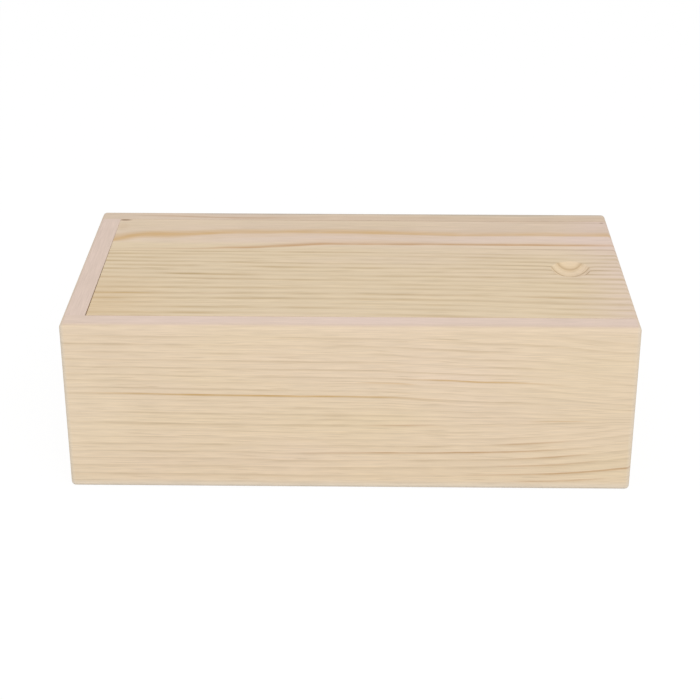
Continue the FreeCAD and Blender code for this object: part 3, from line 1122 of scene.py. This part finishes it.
# %% Describe the lid
lid_rings = [
    14, 27, 42, 49.2, 53.2, 57.8, 62.0, 66.5, 71.5, 75.8, 80.9, 85.6, 90.5, 95.0, 101.4,
    106.9, 111.5, 116.7, 122.9, 127.9, 132.9,
]  # fmt: skip
lid_levels = [
    0.1, 0.2, 0.2, 0.25, 0.48, 0.42, 0.34, 0.46, 0.44, 0.38, 0.48, 0.46, 0.34, 0.36, 0.46,
    0.42, 0.38, 0.4, 0.44, 0.4, 0.4,
]  # fmt: skip
lid_pine = dict(
    front_pine,
    turn=(PER_METRE, -PER_METRE, -PER_METRE),
    axes="XYZ",
    width=2 * HALF_WIDTH,
    pith=(12, 30),
    pushes=[
        (
            [
                (0, 8.1), (14, 5.5), (22, 3.6), (28, 2.6), (45, 2.2), (55, 1.3), (65, 0.2),
                (85, -0.3), (112, -0.8), (128, -0.2), (142, 0.3), (160, 1.1), (177, 2.1),
                (212, 1.5), (250, 1.6),
            ],
            [(0, 0), (15, 0.4), (25, 1), (35, 1), (46, 0.3), (50, 0)],
        ),
        (
            [
                (0, 8), (48, 7.6), (65, 5.8), (75, 5.4), (85, 4.3), (92, 3.4), (100, 2.4),
                (107, 1.5), (115, 0.7), (125, 0.4), (150, -0.4), (170, -1.6), (212, -0.8),
                (250, -0.6),
            ],
            [(30, 0), (47, 1), (50, 0.15), (53, 0)],
        ),
        (
            [(0, -2.4), (18, -2.2), (62, -1.4), (122, 0), (250, 0)],
            [(47, 0), (51, 0.8), (60, 1.0), (80, 1.1), (86, 0.6), (92, 0.1), (110, 0)],
        ),
        (
            [(122, 0), (182, 0.6), (210, 1.4), (240, 2.2), (250, 2.4)],
            [(47, 0), (51, 0.9), (70, 0.8), (80, 1.0), (90, 1.5), (103, 1.7), (122, 2.8)],
        ),
        (
            [
                (0, -0.15), (80, -0.25), (127, -0.45), (152, -0.3), (177, 0), (200, 0.4),
                (222, 0.4), (237, 0), (250, -0.2),
            ],
            [(47, 0), (51, 1), (56, 1), (61, 0)],
        ),
        (
            [(0, -0.1), (170, -0.2), (185, 0), (200, 0.4), (250, 0.35)],
            [(56, 0), (61, 1), (66, 1), (72, 0)],
        ),
        (
            [
                (0, -0.5), (40, -0.55), (90, -0.5), (115, -0.2), (127, 0), (152, 0.35),
                (177, 0.5), (215, 0.55), (232, 0.2), (250, -0.2),
            ],
            [(84, 0), (93, 0.2), (103, 0.5), (110, 0.9), (116, 1.2), (134, 1.2)],
        ),
        (
            [(214, 0), (219, 1), (233, 1), (238, 0)],
            [(60, 0), (62, 0.4), (65.5, 0.4), (67.5, 0.8), (71, 0.5), (76, 0)],
        ),
    ],
    rings=lid_rings,
    levels=lid_levels,
    summer=(0.1, 0.35, 0.72),
    summer_colour=SUMMER_YELLOW,
    strong=[
        (22, 22, 110, 330, 0.2, SUMMER_BROWN),
        (27, 8.3, -20, 62, 0.9, RESIN_YELLOW),
        (27, 9.5, 45, 150, 0.62, RESIN_YELLOW),
        (27.1, 7.8, 110, 300, 0.76, RESIN_YELLOW),
        (31, 8, 60, 160, 0.18, RESIN_YELLOW),
        (38, 8, 100, 155, 0.2, RESIN_YELLOW),
        (41, 8, 150, 260, 0.22, RESIN_YELLOW),
        (41.25, 5, 45, 245, 0.88, RESIN_ORANGE),
        (47.3, 1.6, 195, 300, 0.5, DRY_BROWN),
        (51.9, 1.2, 98, 134, 0.35, RESIN_BROWN),
        (51.9, 1.2, 6, 28, 0.3, RESIN_BROWN),
        (80, 1.2, 50, 74, 0.2, RESIN_BROWN),
        (84.5, 1.2, 6, 28, 0.25, RESIN_BROWN),
        (84.5, 1.2, 50, 74, 0.25, RESIN_BROWN),
        (99.9, 1.4, 6, 30, 0.35, RESIN_OCHRE),
        (99.9, 1.2, 50, 74, 0.3, RESIN_BROWN),
        (99.9, 1.2, 140, 170, 0.25, RESIN_BROWN),
        (99.9, 1.2, 196, 224, 0.3, RESIN_BROWN),
        (60.7, 1.1, 208, 246, 0.4, DRY_BROWN),
        (65.2, 1.0, 198, 246, 0.45, DRY_BROWN),
        (65.2, 0.7, 219, 233, 0.55, DRY_BROWN),
        (70.0, 1.0, 203, 246, 0.5, DRY_BROWN),
        (70.0, 0.7, 216, 237, 0.75, DRY_BROWN),
        (74.8, 0.9, 218, 240, 0.55, DRY_BROWN),
    ],
    patches=[
        # painted shade: a dark spot at the corner of the lid's back gap, at its left end
        ((12.4, 11.3), (4, 1.3), 0.9, GAP_END_SHADE),
        ((12.5, 20), (4, 6), 0.12, RESIN_BROWN),
        # painted shade: a dark spot where the back gap reaches the lid's right end
        ((247, 12.4), (1.3, 0.6), 0.7, GAP_END_SHADE),
        ((6, 112), (48, 40), 0.22, RESIN_YELLOW),
        # painted shadow: a soft dark line along the gap between the lid and the back wall
        ((165, 10.6), (130, 0.9), 0.35, DRY_BROWN),
        ((125, 22), (400, 16), 0.09, SUMMER_BROWN),
        ((33, 31), (18, 5), 0.5, RESIN_YELLOW),
        # painted shadow: the same gap's dark line, near the lid's right end
        ((228, 12.6), (45, 1.5), 0.22, DRY_BROWN),
    ],
    contrast=[(0, 0.4), (46, 0.5), (50, 2.1), (95, 2.1), (118, 1.8), (134, 1.6)],
    contrast_along=[(0, 1), (70, 1), (110, 0.85), (150, 0.75), (250, 0.75)],
    yellow=[
        (0, 0.55), (14, 0.5), (24, 0.35), (32, 0.25), (38, 0.35), (43, 0.75), (52, 0.88),
        (134, 1),
    ],
    yellow_along=[(0, 0.3), (80, 0.1), (220, 0), (248, -0.6)],
    shade=1.01,
    seed=5,
)

# %% Give each board its wood
PINES = {
    "front_wall": front_pine,
    "back_wall": back_pine,
    "left_end_wall": left_pine,
    "right_end_wall": right_pine,
    "bottom_panel": panel_pine,
    "lid": lid_pine,
}
for node, pine in PINES.items():
    board = BOARDS[node][0]
    board.data.materials.clear()
    board.data.materials.append(sanded_pine("sanded_pine_" + node, pine))
    print(board.name, "has", len(board.data.materials[0].node_tree.nodes), "shader nodes")
